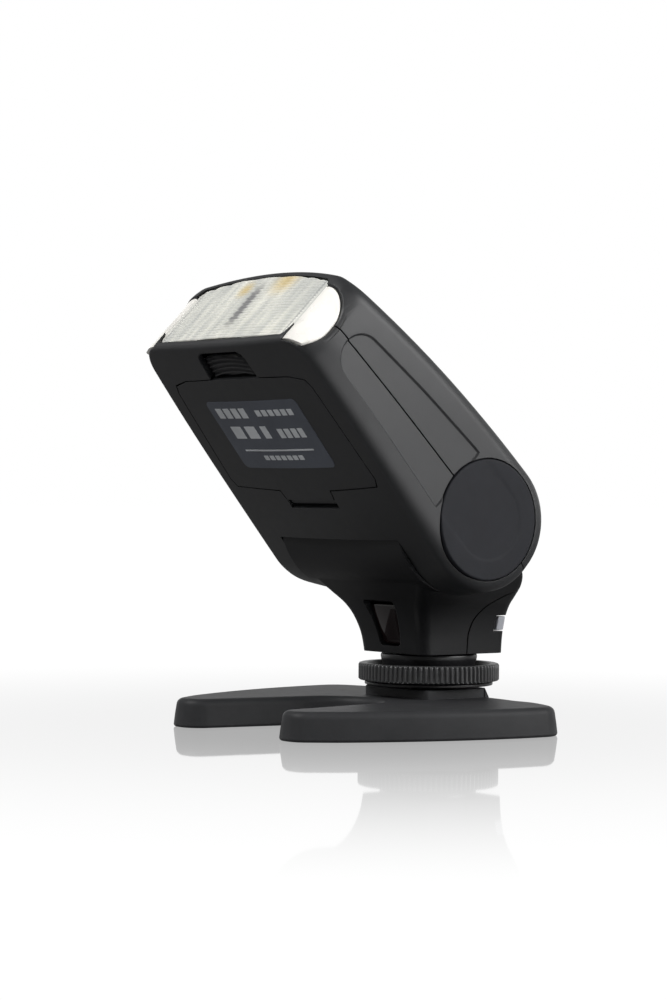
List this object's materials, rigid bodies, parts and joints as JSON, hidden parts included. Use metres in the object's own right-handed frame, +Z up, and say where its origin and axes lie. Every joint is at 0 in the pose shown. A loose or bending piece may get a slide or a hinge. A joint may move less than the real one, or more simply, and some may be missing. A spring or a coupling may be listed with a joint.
{
  "type": "speedlight flash",
  "caption": "Small tilting-head speedlight flash with a clear ridged lens, battery door, neck, locking ring and hot-shoe foot, seated in its two-legged stand.",
  "frame": {"origin": "on the ground, under the middle of the whole object's box", "axes": "+Z up, -Y the way the lens faces and the stand's legs point, +X the side the lens sees on its left"},
  "size_m": [0.081, 0.0742, 0.098],
  "materials": {
    "black_shell": "fine moulded texture",
    "disc_cap": "fine moulded texture, slightly bluish",
    "dark_plastic": "satin",
    "grey_button": "satin",
    "clear_lens": "clear, ridged inside",
    "white_cap": "translucent white",
    "dark_red_window": "polished, see-through to infra-red",
    "red_led": "tinted",
    "label_film": "printed film",
    "circuit_board": "lacquered",
    "steel": "plain",
    "nickel_strip": "nickel plated",
    "brass": "machined",
    "reflector": "bright",
    "tube_glass": "clear",
    "cell_jacket": "wrapped can",
    "capacitor_sleeve": "sleeved can",
    "ferrite": "dull"
  },
  "bodies": {
    "stand": {"stand_body": "black_shell", "stand_tripod_insert": "brass"},
    "base": {"foot_plate": "steel", "foot_stem": "dark_plastic", "foot_screw_left": "steel", "foot_screw_right": "steel", "neck_front_shell": "black_shell", "neck_rear_panel": "black_shell", "af_assist_window": "dark_red_window", "af_assist_led": "red_led", "control_board": "circuit_board", "test_switch": "dark_plastic", "power_switch_body": "steel", "pivot_axle_left": "steel", "pivot_axle_right": "steel", "pivot_detent_disc_left": "steel", "pivot_detent_disc_right": "steel"},
    "clamp": {"clamp_washer": "dark_plastic"},
    "ring": {"locking_ring": "black_shell"},
    "lock": {"lock_pin": "steel"},
    "contact_centre": {"foot_contact_centre": "brass"},
    "contact_left": {"foot_contact_left": "brass"},
    "contact_right": {"foot_contact_right": "brass"},
    "contact_rear": {"foot_contact_rear": "brass"},
    "button": {"test_button": "grey_button"},
    "power_knob": {"power_switch_knob": "dark_plastic"},
    "head": {"head_upper_shell": "black_shell", "head_lower_shell": "black_shell", "front_lens": "clear_lens", "lens_side_cap_left": "white_cap", "lens_side_cap_right": "white_cap", "flash_reflector": "reflector", "flash_tube": "tube_glass", "tube_end_left": "steel", "tube_end_right": "steel", "aa_cell_rear": "cell_jacket", "aa_cell_front": "cell_jacket", "battery_bridge_contact": "nickel_strip", "battery_contact_rear": "nickel_strip", "battery_contact_front": "nickel_strip", "main_capacitor": "capacitor_sleeve", "flash_board": "circuit_board", "trigger_transformer": "ferrite", "pivot_cap_left": "disc_cap", "pivot_cap_right": "disc_cap"},
    "door": {"battery_door": "black_shell", "label_plate": "label_film"},
    "latch": {"battery_door_latch": "black_shell"}
  },
  "joints": [
    {"name": "shoe_slide", "type": "slide", "parent": "stand", "child": "base", "axis": [0, 1, 0], "range_m": [0, 0.019]},
    {"name": "clamp_slide", "type": "slide", "parent": "base", "child": "clamp", "axis": [0, 0, -1], "range_m": [0, 0.0004]},
    {"name": "ring_turn", "type": "hinge", "parent": "clamp", "child": "ring", "pos_m": [0, 0.02152, 0.0116], "axis": [0, 0, 1], "range_deg": [0, 180]},
    {"name": "lock_pin_slide", "type": "slide", "parent": "base", "child": "lock", "axis": [0, 0, -1], "range_m": [0, 0.0012]},
    {"name": "contact_centre_press", "type": "slide", "parent": "base", "child": "contact_centre", "axis": [0, 0, 1], "range_m": [0, 0.0005], "stiffness_N_per_m": 60, "springref_m": -0.0005},
    {"name": "contact_left_press", "type": "slide", "parent": "base", "child": "contact_left", "axis": [0, 0, 1], "range_m": [0, 0.0005], "stiffness_N_per_m": 60, "springref_m": -0.0005},
    {"name": "contact_right_press", "type": "slide", "parent": "base", "child": "contact_right", "axis": [0, 0, 1], "range_m": [0, 0.0005], "stiffness_N_per_m": 60, "springref_m": -0.0005},
    {"name": "contact_rear_press", "type": "slide", "parent": "base", "child": "contact_rear", "axis": [0, 0, 1], "range_m": [0, 0.0005], "stiffness_N_per_m": 60, "springref_m": -0.0005},
    {"name": "test_button_press", "type": "slide", "parent": "base", "child": "button", "axis": [0, -1, 0], "range_m": [0, 0.0006], "stiffness_N_per_m": 400, "springref_m": -0.0006},
    {"name": "power_switch_slide", "type": "slide", "parent": "base", "child": "power_knob", "axis": [1, 0, 0], "range_m": [0, 0.0024]},
    {"name": "head_tilt", "type": "hinge", "parent": "base", "child": "head", "pos_m": [0, 0.01162, 0.0456], "axis": [-1, 0, 0], "range_deg": [-45, 45]},
    {"name": "battery_door_hinge", "type": "hinge", "parent": "head", "child": "door", "pos_m": [0, -0.00959, 0.0497], "axis": [1, 0, 0], "range_deg": [0, 72]},
    {"name": "door_latch_slide", "type": "slide", "parent": "head", "child": "latch", "axis": [0, -0.7071, 0.7071], "range_m": [0, 0.0015], "stiffness_N_per_m": 200, "springref_m": -0.0005}
  ],
  "couplings": [
    {"joint": "clamp_slide", "follows": "ring_turn", "m_per_rad": 0.00012732},
    {"joint": "lock_pin_slide", "follows": "ring_turn", "m_per_rad": 0.00038197}
  ]
}
